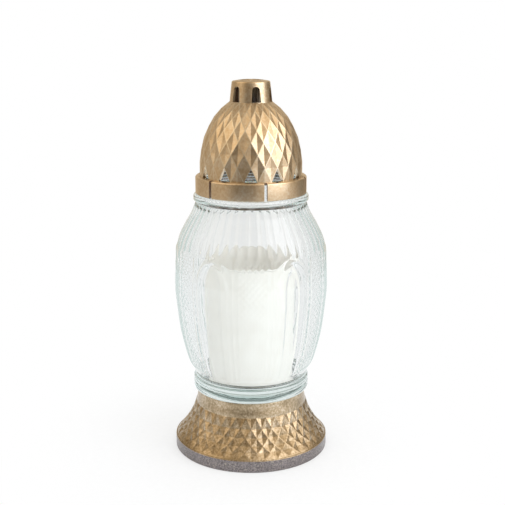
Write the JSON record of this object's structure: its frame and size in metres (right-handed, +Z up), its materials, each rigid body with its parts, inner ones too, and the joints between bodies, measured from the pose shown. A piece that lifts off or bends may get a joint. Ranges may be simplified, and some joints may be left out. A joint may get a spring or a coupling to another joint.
{
  "type": "grave lantern",
  "caption": "Glass grave lantern: a barrel-shaped pressed glass jar in a flared foot, with a vented dome lid that lifts off and a candle refill that lifts out.",
  "frame": {"origin": "centre of the foot's underside, on the surface that the lantern stands on", "axes": "+Z up along the lantern's axis, -Y to the pictured front, +X to the right"},
  "size_m": [0.099, 0.099, 0.238],
  "materials": {
    "foot_brass_plastic": "moulded plastic, metallised antique brass, speckled satin",
    "jar_glass": "clear pressed soda-lime glass, faint green at the edges",
    "lid_brass_plastic": "moulded plastic, metallised antique brass, satin",
    "tinplate": "bright tinplate",
    "cup_plastic": "thin milky plastic",
    "wax": "white paraffin wax",
    "wick_cotton": "waxed braided cotton"
  },
  "bodies": {
    "lantern": {"foot": "foot_brass_plastic", "glass_jar": "jar_glass"},
    "candle": {"candle_cup": "cup_plastic", "candle_wax": "wax", "wick_holder": "tinplate", "wick": "wick_cotton"},
    "lid": {"lid_shell": "lid_brass_plastic", "heat_shield": "tinplate"}
  },
  "joints": [
    {"name": "candle_lift", "type": "slide", "parent": "lantern", "child": "candle", "axis": [0, 0, 1], "range_m": [0, 0.14]},
    {"name": "lid_lift", "type": "slide", "parent": "candle", "child": "lid", "axis": [0, 0, 1], "range_m": [0, 0.06]}
  ]
}
